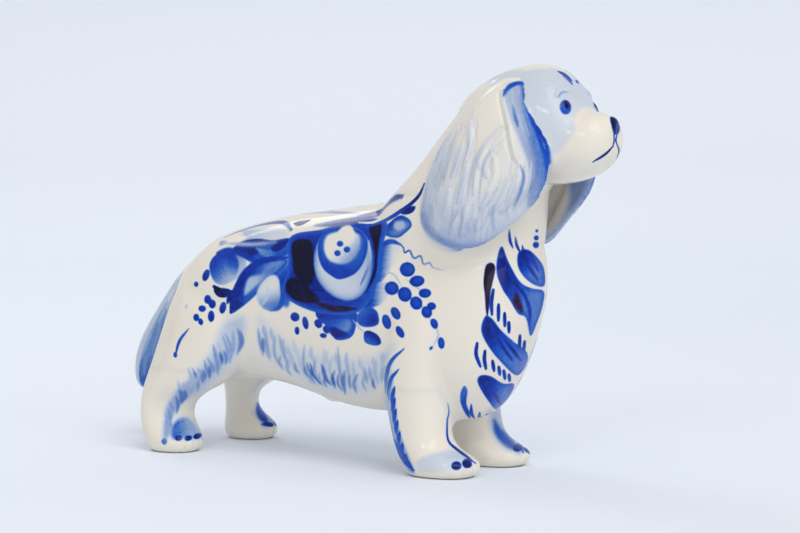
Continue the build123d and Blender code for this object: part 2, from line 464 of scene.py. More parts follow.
def fan(canvas, starts, ends, count, width, tone, bend=0.0, seed=1, **more):
    """A row of thin strokes from one line towards another, uneven in place, length and strength."""
    draw = np.random.default_rng(seed)
    for k in range(count):
        t = (k + 0.5) / count * 0.98 + draw.uniform(-0.25, 0.25) / count
        start = along_line(starts, t) + draw.uniform(-0.4, 0.4, 2)
        end = along_line(ends, t) + draw.uniform(-0.4, 0.4, 2)
        reach = end - start
        start = start + reach * draw.uniform(0.0, 0.35)
        end = end - reach * draw.uniform(0.0, 0.3)
        sideways = np.array([end[1] - start[1], start[0] - end[0]])
        middle = (start + end) / 2 + sideways * (bend + draw.uniform(-0.08, 0.08))
        shade = tone * draw.uniform(0.65, 1.2)
        canvas.stroke([start, middle, end], width * draw.uniform(0.7, 1.3), shade, **more)


def along_line(points, t):
    """The point at a fraction t of a smooth line."""
    line = curve(points)
    place = t * (len(line) - 1)
    k = min(int(place), len(line) - 2)
    return line[k] + (line[k + 1] - line[k]) * (place - k)


def paint_rose(canvas):
    """The large rose on the flank, on its dark ground."""
    canvas.seen_from("quarter", "torso")
    ground = [(-16, 54.5), (-8, 56.5), (-2, 58.2), (7.3, 58.8), (6.5, 52), (5, 43), (0.5, 37.2), (-9.5, 36.9),
        (-17.5, 40.8), (-16.2, 47)]
    canvas.fill(ground, COBALT, DEEP, (6, 50), (-14, 50), rim=BLUE, depth=1.2)
    canvas.fill([(-15.2, 53.3), (-11, 53.8), (-10, 50), (-9.8, 45), (-12, 42.6), (-14.4, 45.5), (-15.2, 49)],
        NAVY)
    canvas.fill([(3.4, 57.6), (6.3, 58.2), (5.6, 52), (4.9, 46), (2.2, 41.5), (4.6, 47.5), (4.5, 53)], NAVY)
    canvas.fill([(-16.3, 44.3), (-13.8, 44.6), (-10.4, 42), (-8.6, 39.4), (-13.5, 39.2), (-16.6, 41.4)], NAVY)
    canvas.stroke([(-9, 39), (-5, 38), (0.3, 38.2)], 1.4, NAVY, violet=0.5)
    rose = [(-3, 57.1), (-7.8, 55.5), (-9.9, 50.5), (-9.2, 45.2), (-5.9, 41.3), (-1.4, 39.9), (2.4, 42),
        (4.3, 47.4), (3.9, 53.1), (1.2, 56.6)]
    canvas.fill(rose, PALE, LIGHT, (-5, 43), (3, 52), rim=BLUE, depth=0.7)
    cup = [(-7.9, 55.4), (-8.9, 51.6), (-7.9, 47.8), (-5.4, 45.6), (-3.1, 45.0), (0.5, 46.7), (2.7, 50.4),
        (2.9, 54.1), (0.9, 56.4), (-3.2, 57)]
    canvas.fill(cup, COBALT, BLUE, (-3, 45), (-1, 52), rim=COBALT, depth=0.6)
    bowl = [(-6.9, 54.7), (-7.4, 52), (-6.2, 49.4), (-3.5, 48.4), (-0.9, 49.1), (1.1, 51.8), (1.2, 55),
        (-0.9, 56), (-4.7, 55.8)]
    canvas.fill(bowl, 0.02, MID, (-4, 53.5), (0.6, 49.5), soft=1.1)
    canvas.fill([(-4.3, 55), (-3.5, 56.7), (-1.7, 57.8), (-0.2, 56.3), (-0.3, 54), (-2.1, 53)], 0.02,
        soft=0.8)
    for spot in ((-3.5, 53.2), (-1.8, 51.9), (-4.1, 51.0)):
        canvas.dab(spot, 1.6, 1.4, COBALT)
    canvas.stroke([(3.4, 54), (3.6, 49), (1.5, 43.8)], 0.7, PALE, BLUE)


def paint_petals(canvas):
    """Looser petals either side of the rose and below it."""
    canvas.seen_from("quarter", "torso")
    canvas.fill([(-29, 50.6), (-22, 51.4), (-15.8, 51.4), (-15.8, 38.6), (-19, 39), (-24, 43), (-25.6, 47.6)],
        BLUE, MID, (-16, 46), (-27, 49), soft=1.4, lines=0.2)
    canvas.fill([(-36.8, 46.6), (-36.2, 48.8), (-34.2, 50.4), (-31.6, 51.2), (-28.6, 50.6), (-27.0, 48.2),
        (-28.0, 45.2), (-30.6, 43.4), (-33.4, 42.4), (-35.6, 43.6)], COBALT, LIGHT, (-35.6, 49.4),
        (-29.4, 44), soft=0.6, lines=0.16)
    canvas.fill([(-35.2, 50.2), (-32.4, 51.6), (-29.4, 51.2), (-30.2, 49.6), (-33, 49)], COBALT, soft=0.8)
    canvas.fill([(-31.6, 49.4), (-30, 49.8), (-29, 47.4), (-29.8, 45), (-31.4, 45.4), (-32, 47.4)], COBALT,
        MID, (-30, 49), (-31, 45), soft=0.8)
    canvas.fill([(7.9, 58), (10.5, 60), (12.6, 59.4), (13.4, 57.8), (12.2, 56.3), (10.2, 54.9), (7.7, 55.2),
        (6.4, 56.5)], DEEP, MID, (8.4, 59.6), (11, 56.2), rim=COBALT, depth=0.6, lines=0.12)
    canvas.fill([(9.6, 58.6), (11.4, 58.8), (11.8, 57.4), (10.4, 56.6), (9.2, 57.2)], LIGHT, soft=1.0)
    canvas.fill([(6, 53.2), (9, 54.1), (11, 53.3), (10.2, 50.8), (8.6, 47.6), (6.3, 44.6), (4.9, 44.1),
        (5.4, 49)], COBALT, 0.06, (5.2, 50.5), (9.9, 50), soft=0.7, lines=0.04)
    canvas.stroke([(5.6, 52.6), (8.4, 54), (10.8, 53.4)], 1.2, COBALT, BLUE, soft=0.6)
    canvas.fill([(4.8, 44.1), (7.6, 44.6), (7.9, 41.9), (6, 39.3), (2.3, 38.4), (1.2, 39.7), (3.3, 41.6)],
        DEEP, PALE, (2.2, 40.8), (7.6, 40.6), soft=0.6)
    canvas.fill([(-8.6, 37.9), (-4.6, 38), (0.2, 37.8), (0.4, 34.4), (-0.8, 31.4), (-4.4, 30.6), (-6.2, 33.2),
        (-9.2, 35.9)], DEEP, BLUE, (-4, 38.2), (-3, 34), rim=COBALT, depth=0.8, lines=0.14)
    canvas.fill([(-3.8, 35.2), (-1.2, 35.4), (-1, 33.6), (-2.6, 32.6), (-4.2, 33.4)], MID, BLUE, (-1, 33),
        (-4, 35.4), soft=1.4)
    canvas.fill([(-5.6, 33.6), (-3.4, 33), (-1.4, 31.8), (-4, 31), (-5.8, 32)], DEEP, soft=0.8)
    band = [(-15.8, 54.1), (-20.3, 53.6), (-24.5, 53.9), (-28.6, 53.1), (-31, 50.8), (-28.2, 49.4),
        (-25.2, 48.2), (-21.5, 48.2), (-18.2, 49.8), (-15.7, 50.5)]
    canvas.fill(band, DEEP, BLUE, (-30.5, 51.5), (-20, 51), rim=COBALT, depth=0.8, soft=0.5, lines=0.16)
    canvas.fill([(-27.4, 52.6), (-24.6, 52.6), (-23.4, 51), (-25.6, 49.9), (-27.8, 50.8)], DEEP, soft=1.0)
    canvas.stroke([(-24.4, 51.6), (-21.5, 50.4), (-18.6, 51.6)], 1.8, MID, BLUE, soft=0.9)
    canvas.fill([(-20.8, 51.8), (-18.5, 53.3), (-16.4, 54), (-17.2, 52.3), (-19.3, 50.9)], DEEP, soft=0.6)
    canvas.fill([(-19.4, 47.6), (-15.6, 50.6), (-15.8, 44.6), (-17.3, 40.6), (-18.6, 43.6)], COBALT, MID,
        (-16.2, 45), (-19, 48), soft=0.7)
    big = [(-19.6, 49.6), (-24.6, 48.4), (-28.3, 45.2), (-30.3, 40.1), (-31.1, 35.6), (-28.1, 37.2),
        (-24.4, 40.4), (-22.1, 43.4), (-19.2, 45.6), (-16.6, 48.6)]
    canvas.fill(big, DEEP, MID, (-28.4, 44.2), (-22.4, 41.6), rim=COBALT, depth=0.6, soft=0.5, lines=0.14)
    canvas.fill([(-26.4, 44.4), (-22.6, 45.6), (-19.6, 47.2), (-21.4, 45.2), (-24.4, 42.6), (-27.4, 40.2)],
        LIGHT, BLUE, (-25, 43), (-19.6, 47.2), soft=1.2)
    canvas.stroke([(-16.6, 49.6), (-22.9, 48.6), (-26.7, 46.2), (-29.2, 42.4), (-30.6, 39), (-31, 35.8)], 1.6,
        COBALT, DEEP, soft=0.5)
    canvas.fill([(-31, 36.6), (-29.2, 36.8), (-27.6, 38.2), (-29, 39), (-30.6, 38.6)], DEEP, soft=0.9)
    white = [(-21.4, 44.9), (-19.2, 45.2), (-17.8, 42.5), (-17.5, 38.9), (-19.3, 36.7), (-22.4, 36.9),
        (-24.2, 39.5), (-23.7, 42.3)]
    canvas.fill(white, 0.05, BLUE, (-21.2, 43.0), (-19.2, 36.6), rim=LIGHT, depth=0.5, soft=0.6)
    canvas.stroke([(-18.1, 43.6), (-17.5, 40.4), (-18.5, 37.6), (-20.6, 36.7)], 1.3, COBALT, BLUE, soft=0.7)
    canvas.stroke([(-22.9, 37.8), (-21.6, 40.2), (-21.4, 43)], 0.8, LIGHT, PALE, soft=0.7)


def paint_berries(canvas):
    """Sprays of berries, their stalks, and a curling tendril."""
    canvas.seen_from("quarter", "torso", "foreleg")
    for stalk in ([(11, 43.9), (9.4, 46.4), (6.9, 47)], [(17.3, 37.1), (19.2, 33.9), (19.3, 32.3),
            (17.9, 29.9)], [(-0.3, 35.5), (1.4, 33.5), (2.7, 32.5)], [(9, 42.5), (13, 41.4), (17, 38.3)],
            [(12, 45.5), (16, 42.6)]):
        canvas.stroke(stalk, 0.45, LIGHT)
    tendril = [(9.4, 54), (11.3, 52.9), (11.8, 51.5), (12.9, 52), (13.9, 50.3), (15.4, 50.8), (16.1, 49),
        (17.4, 49.3), (18.4, 48.2), (20.8, 47.6)]
    canvas.stroke(tendril, 0.5, COBALT, LIGHT)
    spray = [((12.4, 47.7), 3.5, 3.3, 0), ((14.6, 45.1), 3.4, 2.5, 10), ((16.4, 42.4), 2.8, 2.1, 5),
        ((8.8, 43.3), 3.2, 3.1, 0), ((11.8, 42), 3.1, 3.4, 10), ((14.4, 40.1), 2.8, 3, 20), ((17.9, 39.5), 2,
        1.7, 0), ((16.8, 38.1), 2.4, 2.7, 20), ((18.5, 35.5), 1.6, 2.4, 20), ((20.1, 31.1), 1.5, 2.7, 5),
        ((9.7, 37.6), 2, 3, 30), ((7.6, 35.5), 2, 3.4, 15), ((10.7, 33.4), 1.6, 2.9, 30)]
    canvas.dabs(spray, COBALT, DEEP)
    canvas.dab((17.8, 29.9), 0.7, 1.1, COBALT, -40)
    canvas.fill([(3.1, 38.8), (1.3, 37.6), (0.4, 35.9), (1.4, 34.3), (3.5, 34), (5.7, 34.9), (5.6, 37.4),
        (4.4, 38.6)], BLUE, DEEP, (1, 37.6), (5.6, 34.6), rim=BLUE, depth=0.5)
    canvas.fill([(2.3, 32.6), (3.5, 33.2), (5.6, 32.2), (6.3, 30.4), (4.8, 29.7), (2.5, 30.4)], DEEP, BLUE,
        (5, 32.2), (3.6, 30))
    canvas.dabs([((-14.5, 35.5), 2.3, 2.2, 0), ((-11.9, 34.2), 1.5, 3.1, 10), ((-14, 32.2), 1.2, 2, 0),
        ((-8.7, 34.2), 1.9, 2.2, 30), ((-6.7, 32.9), 1.7, 2, 40), ((-7.5, 31.4), 1.7, 1.2, 0)], DEEP)
    spray = [((-37.6, 44.7), 1.8, 3, -20), ((-40.2, 42.4), 1.3, 1.3, 0), ((-37, 38.8), 1.9, 2.2, 0),
        ((-35.8, 37.7), 1.9, 2.2, 0), ((-38.4, 36.5), 2, 1.6, 0), ((-36, 34.7), 1.7, 2.8, 0), ((-33, 36.9),
        1.7, 3, -15), ((-39.9, 34.3), 1.6, 1.8, 0), ((-38.7, 33.3), 1.3, 1.7, 20)]
    canvas.dabs(spray, DEEP)
    canvas.stroke([(-35.3, 42), (-33.6, 40.6), (-30.6, 40.9)], 2.4, NAVY, DEEP)
    canvas.stroke([(-31, 40.4), (-31.8, 38)], 1.2, DEEP)
    canvas.stroke([(-41.8, 31.5), (-44.3, 28.3), (-45.4, 24.6)], 0.8, BLUE, COBALT)
    canvas.dab((-45.4, 24.8), 1.1, 1.5, COBALT)
    canvas.stroke([(-42.6, 37.4), (-42.7, 36.2)], 0.6, LIGHT)


def paint_back(canvas):
    """Grey and violet strokes along the top of the back, and a white painted highlight along the upper edge
    of the back and neck.
    """
    canvas.seen_from("above", "torso")
    canvas.fill([(-29.5, 8), (-24, 8.8), (-15.5, 9.8), (-11.8, 11.4), (-14.5, 12.6), (-23.5, 12.6)], LIGHT,
        PALE, (-28, 9), (-12, 11), soft=1.6, violet=0.3, wash=True)
    canvas.strokes([
        ([(-34.5, 8.7), (-31, 7.6), (-25.3, 6.7), (-17.3, 7.6), (-11.8, 10.6)], 1.7, MID, BLUE, 0.7, 0.6),
        ([(-33, 11.2), (-28, 12.0), (-22, 12.6), (-15, 12.6)], 0.8, LIGHT, MID, 0.7, 0.4),
        ([(-34.8, 10.2), (-33.6, 10.9), (-32, 11.2)], 1.4, MID, LIGHT, 0.8, 0.6),
        ([(-12.4, 8.7), (-10, 8.9), (-8, 8.3)], 1.6, DEEP, None, 0.6, 0.7),
        ([(7, 8.2), (0.2, 6.5), (-7, 4.4), (-14, 3.4)], 1.3, LIGHT, MID, 0.7, 0.4),
        ([(-5, 10), (3, 10.2), (8, 10), (14.2, 9.6)], 2.0, MID, BLUE, 0.9, 0.75),
        ([(7, 9.0), (12, 8.6), (17, 9.4), (21.7, 11.2)], 1.6, MID, COBALT, 0.8, 0.7),
        ([(11.5, 8.3), (14, 8.6), (16.4, 9.2)], 0.9, DEEP, MID, 0.5, 0.8),
    ])
    for x in range(-40, 24, 8):
        canvas.stroke([(x - 3.4, 0.4), (x, 1.5), (x + 3.6, 3.6)], 1.1, LIGHT, MID, violet=0.3, soft=0.6)
    canvas.seen_from("quarter", "torso", "head")
    # White stroke along the upper edge of the back and neck: a painted highlight where a reflection runs
    # along the top. The navy line beside it is brushwork.
    canvas.stroke([(0.9, 58.2), (4.3, 58.3), (7.3, 59.6), (11, 61.9), (13.5, 63.7), (15.6, 66.2)], 0.8, 0.0)
    canvas.stroke([(3, 57.2), (7.4, 58.9), (11.1, 61.2), (13.4, 62.9), (15.2, 64.9), (16.3, 67.4)], 0.9, BLUE,
        NAVY)
    canvas.fill([(11, 60.5), (12.6, 61.9), (14.2, 62.2), (13.8, 61), (12.4, 60.3)], DEEP)


def paint_fur(canvas):
    """Pale washes and thin upright strokes for the fringe of fur along the belly and the thigh."""
    canvas.seen_from("quarter", "torso", "hindleg")
    canvas.fill([(-24, 35), (-20, 32), (-14.8, 28), (-7, 26.5), (4, 27), (9.4, 30.5), (7.4, 23), (4.6, 18.6),
        (-1, 17), (-9, 17.6), (-15, 21), (-21.5, 25)], 0.12, soft=3.5, violet=0.2, wash=True)
    tops = [(-25, 35.4), (-20.4, 33), (-15.6, 29.8), (-9.9, 29.4), (-4.7, 28.8), (-0.2, 27.4), (4.2, 27.2),
        (9.4, 30.6)]
    tips = [(-23, 26), (-18.4, 21.6), (-12.6, 20), (-8.8, 17.8), (-3.8, 17.2), (0.8, 17.8), (5.2, 19.4),
        (8, 23)]
    middles = [(-23.8, 31), (-19.2, 27.6), (-14, 24.8), (-9, 24), (-4, 23.4), (0.6, 22.8), (5, 23.4), (9, 27)]
    fan(canvas, tops, tips, 17, 0.95, 0.30, 0.08, 11, soft=0.9, violet=0.15)
    fan(canvas, middles, tips, 17, 0.8, 0.40, 0.10, 12, soft=0.7, violet=0.1)
    fan(canvas, tops, middles, 11, 0.9, 0.24, 0.08, 13, soft=0.9, violet=0.2)
    fan(canvas, [(-13, 25.6), (-8, 24.6), (-2, 23)], [(-10, 19.4), (-6, 17.8), (-1.6, 17.8)], 8, 0.7, 0.5,
        0.08, 14, soft=0.7)
    canvas.fill([(-27.4, 34.6), (-28.6, 27), (-34.5, 19.4), (-41.6, 14), (-43.4, 14), (-41, 19.6),
        (-35.7, 26.8), (-33, 33)], 0.2, soft=3.0, violet=0.1, wash=True)
    tops = [(-27.4, 34.6), (-31.4, 32), (-35.4, 28.4), (-39.2, 24.4), (-42.4, 20.8), (-45.4, 18)]
    tips = [(-28.2, 25.6), (-30.8, 23), (-34.2, 20), (-37.8, 16.8), (-41.4, 13.8), (-45, 11.4)]
    fan(canvas, tops, tips, 15, 0.95, 0.36, -0.06, 21, soft=0.8, violet=0.1)
    fan(canvas, [(-31, 29), (-36, 24.6), (-41, 19.6)], [(-30.6, 24), (-35.4, 19.6), (-40.6, 14.6)], 9, 0.8,
        0.5, -0.06, 22, soft=0.8)
    canvas.fill([(-48.9, 9), (-47.6, 12.6), (-43.8, 17.4), (-39.2, 19.6), (-41, 15.6), (-44.6, 11.8),
        (-46.6, 8.4), (-47, 4.4), (-48.6, 3)], LIGHT, 0.3, (-42, 17), (-48.4, 4), soft=1.6, lines=0.2,
        violet=0.1)
    fan(canvas, [(-42.4, 18), (-45.4, 15), (-47.6, 11.6), (-48.4, 8.4)], [(-43.2, 13), (-45.6, 10), (-47, 7),
        (-47.8, 3.6)], 9, 0.9, 0.45, -0.08, 23, soft=0.8)


def leaf(canvas, outline, dark_at, light_at, veins):
    """A leaf with feathered shading, a darker rim and a few veins."""
    canvas.fill(outline, DEEP, 0.5, dark_at, light_at, rim=COBALT, depth=0.5, soft=0.45, lines=0.16)
    for vein in veins:
        canvas.stroke(vein, 0.8, COBALT, DEEP, soft=0.5)


def paint_chest(canvas):
    """The breast: leaves down its left half, then the same leaves from the right, carried over the middle."""
    left_from, fade = 4.5, 1.5
    for view in ("left", "right"):
        canvas.seen_from(view, "torso", "foreleg", fade=0.08)
        if view == "left":
            canvas.shown = canvas.shown * smooth((canvas.place[:, 1] - left_from) / fade)
        paint_leaves(canvas)
    for centre, size in (((42, 56.6), 0.8), ((41.9, 55), 1.3), ((41.8, 53.4), 1.6)):
        canvas.dab(centre, size, size * 0.9, DEEP)


def paint_leaves(canvas):
    """Four leaves with rows of short strokes between them, and a dark drop beside them."""
    for line in (((35.4, 57), (35.6, 54.6), (36.3, 52.8)), ((36.8, 55.4), (37.2, 53.4), (38, 51.8)),
            ((38.5, 53.4), (38.7, 52.2), (39.2, 51))):
        canvas.stroke(line, 0.7, BLUE, DEEP, violet=0.3)
    leaf(canvas, [(37.6, 51.8), (39.8, 52.4), (42.4, 50.2), (43.9, 47.7), (44, 44), (41.6, 44.2),
        (38.9, 46.2), (37.4, 48.8)], (38.2, 50.2), (41, 47), [((38.4, 50.4), (40.2, 48.2), (42.2, 45.4)),
        ((39.6, 51.4), (41.2, 49.6), (42.4, 47.4))])
    leaf(canvas, [(33.8, 53.2), (32.7, 50.6), (32.6, 47), (33.9, 43.5), (35.5, 41.1), (37.5, 37.9),
        (39.4, 36.8), (40.7, 32.4), (42.2, 35.4), (43.6, 39.4), (43.8, 42.6), (40.6, 43.6), (37.9, 45.2),
        (35.4, 49.4)], (33.4, 46), (40.6, 41), [((40.4, 35), (40.2, 39), (38.4, 43.4)), ((35.2, 48),
        (36.6, 45), (39, 42))])
    canvas.stroke([(37, 42.6), (37.3, 40.4), (38.4, 38.4)], 1.7, NAVY, violet=0.9, soft=0.9)
    canvas.fill([(30.2, 48.9), (31.1, 49.5), (32.0, 49.1), (32.2, 47.8), (31.7, 45.4), (31.1, 42.6),
        (30.9, 40), (30.5, 37.4), (30.1, 39), (29.9, 42), (29.6, 45), (29.8, 47.4)], NAVY, violet=0.6)
    rows = [((31.8, 43.4), (31.4, 40.6), (31.5, 37.8)), ((33, 40), (33, 36.4)), ((34.4, 38), (34.5, 35.1)),
        ((35.4, 35.9), (35.5, 33.6)), ((38.1, 32.7), (38.1, 29)), ((39.3, 31.2), (39.2, 28.7)), ((28.2, 31.2),
        (28, 28.6), (29, 25.8)), ((30, 29.4), (29.9, 27.4), (30.3, 25.2)), ((31.8, 27), (32.2, 24.6)),
        ((33.3, 25.5), (33.6, 23.6)), ((34.5, 24.5), (34.9, 22.5)), ((35.8, 23.4), (36.1, 21.8))]
    for line in rows:
        canvas.stroke(line, 0.85, DEEP, COBALT, round_ends=0.85)
    leaf(canvas, [(30, 37.4), (29.1, 34.2), (30.8, 30.4), (34.2, 26.2), (38.0, 22.9), (40.4, 25.8),
        (39.9, 28.6), (36.6, 31.4), (33.6, 34.2), (31.6, 36.8)], (30, 33.4), (36, 28.6), [((31, 36),
        (33.2, 31.6), (36.4, 27)), ((33.4, 33.4), (36, 30), (38.6, 26.6))])
    leaf(canvas, [(29, 23.6), (28.5, 21.8), (31.0, 17.4), (33.9, 14.2), (36.6, 18.0), (37.2, 20.8),
        (34.4, 21.4), (31.4, 23.4)], (29.8, 20.4), (35.2, 19), [((30.4, 21.8), (32.6, 18.6), (34.2, 15.8))])
    canvas.fill([(25.4, 21.2), (24.6, 19.6), (24.6, 17.2), (25.6, 14.6), (27, 12.6), (26.8, 14.4), (26, 17),
        (26.2, 20)], BLUE, COBALT, (25, 20), (26.4, 13.6), lines=0.12)
    for line in (((27.1, 16.6), (27.3, 14.2), (28.2, 12.4)), ((29.2, 14.4), (29.2, 13), (29.9, 12)),
            ((31, 13.6), (31.2, 12.4))):
        canvas.stroke(line, 0.8, COBALT)


def paint_face(canvas):
    """Grey-blue mask over the forehead, eyes, brows, a lock on the forehead and mouth, and a navy nose with a
    painted highlight.
    """
    canvas.seen_from("quarter", "head")
    mask = [(31, 91.5), (39.4, 93), (46.1, 93.2), (50.3, 90.8), (53.6, 87.6), (54.5, 85), (51, 83.9),
        (49.2, 81.5), (49.2, 79.2), (47.4, 76.4), (44.6, 73.8), (40, 72.4), (34, 74)]
    canvas.fill(mask, 0.16, 0.12, (46, 90), (46, 76), soft=1.4, violet=0.12)
    canvas.stroke([(50.6, 91), (52.8, 89.2), (54, 86.6), (53.8, 84.4)], 1.2, 0.2, 0.3, soft=1.0, violet=0.4)
    canvas.stroke([(45.8, 86.5), (46.6, 87.5), (48.1, 87.7)], 0.55, MID, LIGHT)
    canvas.dab((47.4, 84.3), 2.7, 3.3, 0.62, rim=0.58)
    canvas.fill([(46.7, 84.7), (47.5, 85.7), (48.4, 84.8), (47.6, 83.8)], NAVY, soft=0.9)
    canvas.stroke([(58.2, 78.6), (58.4, 76.9), (57.9, 75.5)], 0.4, DEEP, violet=0.4)
    canvas.stroke([(58.1, 75.7), (56.7, 74.2), (55.2, 73.1), (53.4, 72.1)], 0.55, NAVY, DEEP, violet=0.5)
    canvas.seen_from("right", "head")
    canvas.stroke([(46.3, 92.6), (47.7, 91.9), (49.4, 90.5)], 0.8, DEEP, COBALT)
    canvas.stroke([(47.2, 91.6), (48.5, 90.7), (49.4, 89.6)], 0.6, MID, COBALT)
    canvas.stroke([(50.4, 90.7), (51, 90.1)], 0.7, COBALT)
    tip, size = np.array([71.2, 0.0, 80.3]), np.array([1.6, 2.0, 2.2])
    nearness = 1.0 - np.linalg.norm((canvas.place - tip) / size, axis=1)
    canvas.shown = np.ones(len(canvas.place))
    spots = np.flatnonzero(nearness > -0.2)
    aside, below = np.abs(canvas.place[spots, 1]) / 0.9, 81.4 - canvas.place[spots, 2]
    # The nose is navy, lightened down its middle and below its top as a painted highlight.
    tone = NAVY - 0.4 * smooth(1.0 - aside) * smooth(below)
    canvas.lay(spots, smooth(nearness[spots] / 0.15 + 0.5), tone)


EAR_HAIR = [
    [(33.4, 80), (30.5, 77), (28.8, 74.2), (27.4, 70), (27, 65)],
    [(31.9, 75.3), (30.2, 73.4), (29.2, 71.2), (29.8, 68.8)],
    [(26.6, 81.4), (26.2, 79), (26, 75.6), (25, 71)],
    [(24, 80), (23.2, 77.4), (21.6, 73.6), (20.4, 69)],
    [(25, 76.6), (23.7, 72.8), (22.4, 68.8)],
    [(21.4, 76.8), (20.2, 72), (18.8, 67)],
    [(26, 72.4), (24.8, 68), (23.6, 63)],
    [(34.4, 68.7), (33.6, 66.2), (32.4, 63.6), (30.6, 60.8)],
    [(36.7, 71), (36.1, 67.3), (34.7, 63.4), (33, 60.8)],
    [(39.7, 72), (39, 67.3), (37.6, 64.6), (35.8, 61.8)],
    [(21.8, 66.6), (21, 63.2), (20.6, 59.6)],
    [(19, 72), (17.8, 67), (17.4, 62)],
    [(29.8, 62), (28.9, 59.6), (27.6, 56.8)],
    [(23.6, 60), (22.7, 57.4), (22.4, 55)],
    [(25.6, 62.6), (24.8, 58.6), (24.4, 55.6)],
    [(31, 66), (29.6, 64.2), (28.4, 61.6)],
]
EAR_OUTLINE = [(37.5, 90.2), (29.5, 88.8), (25.6, 86.2), (22.8, 82), (20.4, 77.5), (18, 71.5), (16.4, 66),
    (15.3, 60.2), (16.4, 56.8), (19, 54.4), (25.4, 52), (30, 52.6), (34.6, 54.6), (40.2, 60.3), (43, 65),
    (43.6, 70.4), (42.6, 76.3), (41, 80.6), (39.6, 85), (39, 89)]
EAR_FOLD = [(33.9, 88), (33.8, 86), (34.6, 82.2), (35.2, 79), (35.7, 75.6), (36.4, 72.6)]


def paint_ears(canvas):
    """Grey-blue hanging ears, darker round their rims, with locks of hair and a folded front edge."""
    canvas.seen_from("quarter", "ear", fade=0.1)
    canvas.fill(EAR_OUTLINE, 0.25, 0.05, (25, 54), (29, 69), soft=0.8, rim=0.33, depth=1.5, violet=0.35,
        lines=0.2)
    canvas.fill([(26, 90), (34, 91), (34.5, 84), (31, 78), (26, 72), (22, 78), (22, 86)], 0.02, soft=4.0,
        violet=0.2)
    canvas.fill([(34, 87.4), (37.6, 90), (39.2, 86), (41, 80.6), (43, 74), (43.6, 68), (41.4, 62), (38.6, 63),
        (39.2, 70), (37.4, 76), (35, 82)], 0.34, 0.27, (41, 72), (35.4, 82), soft=1.4, violet=0.3)
    draw = np.random.default_rng(31)
    for line in EAR_HAIR:
        canvas.stroke(line, 0.6, 0.16, 0.29, soft=0.7, violet=0.4)
        for _ in range(2):
            shift = draw.uniform(-1.4, 1.4, 2)
            near = [(u + shift[0], z + shift[1] * 1.6) for u, z in line]
            canvas.stroke(near, draw.uniform(0.3, 0.6), draw.uniform(0.1, 0.18), draw.uniform(0.16, 0.28),
                soft=0.7, violet=draw.uniform(0.3, 0.7))
    fan(canvas, [(17.6, 65), (22, 62.6), (28, 62), (34, 64), (40, 68)], [(17.6, 57.6), (21, 54.6),
        (27.4, 53.6), (34, 56.4), (39.6, 61)], 20, 0.7, 0.24, 0.05, 32, soft=0.9, violet=0.35)
    canvas.strokes([
        ([(16.2, 60), (17.2, 57), (20, 54.6), (25.2, 52.9), (32, 54), (37, 57.2), (41, 62), (42.6, 66)], 2.2,
            0.40, 0.36, 2.0, 0.15, 0.8),
        ([(33.8, 86.6), (34.4, 88.2), (35.6, 89.3), (37.5, 89.8), (38.8, 89)], 1.0, BLUE, COBALT, 0.5),
        ([(38.0, 89.2), (38.8, 85), (40.2, 80.4), (41.5, 76), (42.4, 71.6), (42.2, 66), (40.4, 61.6)], 3.6,
            BLUE, 0.42, 2.2, 0.0, 0.4),
        ([(38.6, 88), (39.6, 84), (41.2, 80), (42.6, 75.8), (43.3, 71.4), (43, 67)], 1.9, DEEP, BLUE, 1.0),
        ([(35.7, 84.9), (36.1, 82.6), (36.8, 80)], 0.7, MID, BLUE, 0.5),
        ([(37.2, 71.4), (38, 69), (37.4, 66), (36, 62.6)], 0.8, 0.42, MID, 0.6),
    ])
    canvas.seen_from("inner", "ear")
    canvas.shown = canvas.shown * smooth((-canvas.normals[:, 1] * canvas.side - 0.25) / 0.3)
    canvas.fill([(-10, 50), (80, 50), (80, 95), (-10, 95)], 0.02)
    canvas.fill([(50.6, 70.5), (56.5, 70.5), (55.6, 64), (52, 58), (46.4, 53.2), (44, 54), (47.6, 58),
        (50, 63.4)], 0.36, 0.28, (52, 66), (47, 56), soft=2.0, violet=0.25)


